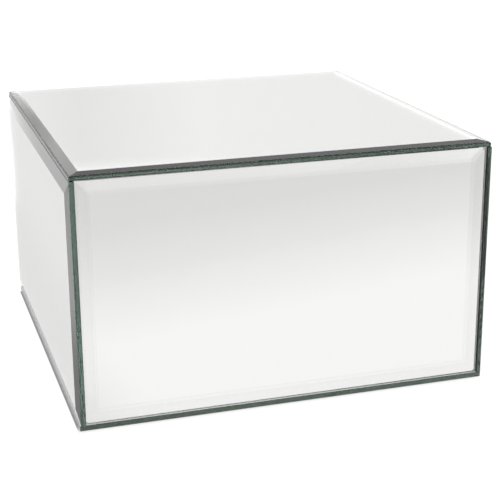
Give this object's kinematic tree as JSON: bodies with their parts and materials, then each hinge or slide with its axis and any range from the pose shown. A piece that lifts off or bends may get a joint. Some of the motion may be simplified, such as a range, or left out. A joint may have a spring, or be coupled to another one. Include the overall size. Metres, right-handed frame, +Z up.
{
  "type": "mirrored display block",
  "caption": "Low square display block clad in bevelled mirror glass over a fibreboard box, with a flat display top and small bumper feet.",
  "frame": {"origin": "middle of the footprint, on the plane the feet stand on", "axes": "+Z up through the display surface; front face towards -Y; left and right panes at -X and +X"},
  "size_m": [0.3, 0.3, 0.18],
  "materials": {
    "mirror_glass": "silvered float glass, polished, ground bevel and green cut edges",
    "fibreboard": "raw medium-density fibreboard",
    "softwood": "planed softwood",
    "zinc_steel": "bright zinc plate",
    "foam_tape": "closed-cell foam",
    "bumper": "clear soft polyurethane"
  },
  "bodies": {
    "root": {"back_board": "fibreboard", "back_pane": "mirror_glass", "back_tape_1": "foam_tape", "back_tape_2": "foam_tape", "base_board": "fibreboard", "base_pane": "mirror_glass", "base_screw_1": "zinc_steel", "base_screw_2": "zinc_steel", "base_screw_3": "zinc_steel", "base_screw_4": "zinc_steel", "base_tape_1": "foam_tape", "base_tape_2": "foam_tape", "base_tape_3": "foam_tape", "corner_block_1": "softwood", "corner_block_2": "softwood", "corner_block_3": "softwood", "corner_block_4": "softwood", "foot_1": "bumper", "foot_2": "bumper", "foot_3": "bumper", "foot_4": "bumper", "front_board": "fibreboard", "front_pane": "mirror_glass", "front_tape_1": "foam_tape", "front_tape_2": "foam_tape", "left_board": "fibreboard", "left_pane": "mirror_glass", "left_tape_1": "foam_tape", "left_tape_2": "foam_tape", "right_board": "fibreboard", "right_pane": "mirror_glass", "right_tape_1": "foam_tape", "right_tape_2": "foam_tape", "side_screw_1": "zinc_steel", "side_screw_2": "zinc_steel", "side_screw_3": "zinc_steel", "side_screw_4": "zinc_steel", "side_screw_5": "zinc_steel", "side_screw_6": "zinc_steel", "side_screw_7": "zinc_steel", "side_screw_8": "zinc_steel", "top_board": "fibreboard", "top_pane": "mirror_glass", "top_screw_1": "zinc_steel", "top_screw_2": "zinc_steel", "top_screw_3": "zinc_steel", "top_screw_4": "zinc_steel", "top_tape_1": "foam_tape", "top_tape_2": "foam_tape", "top_tape_3": "foam_tape"}
  },
  "joints": []
}
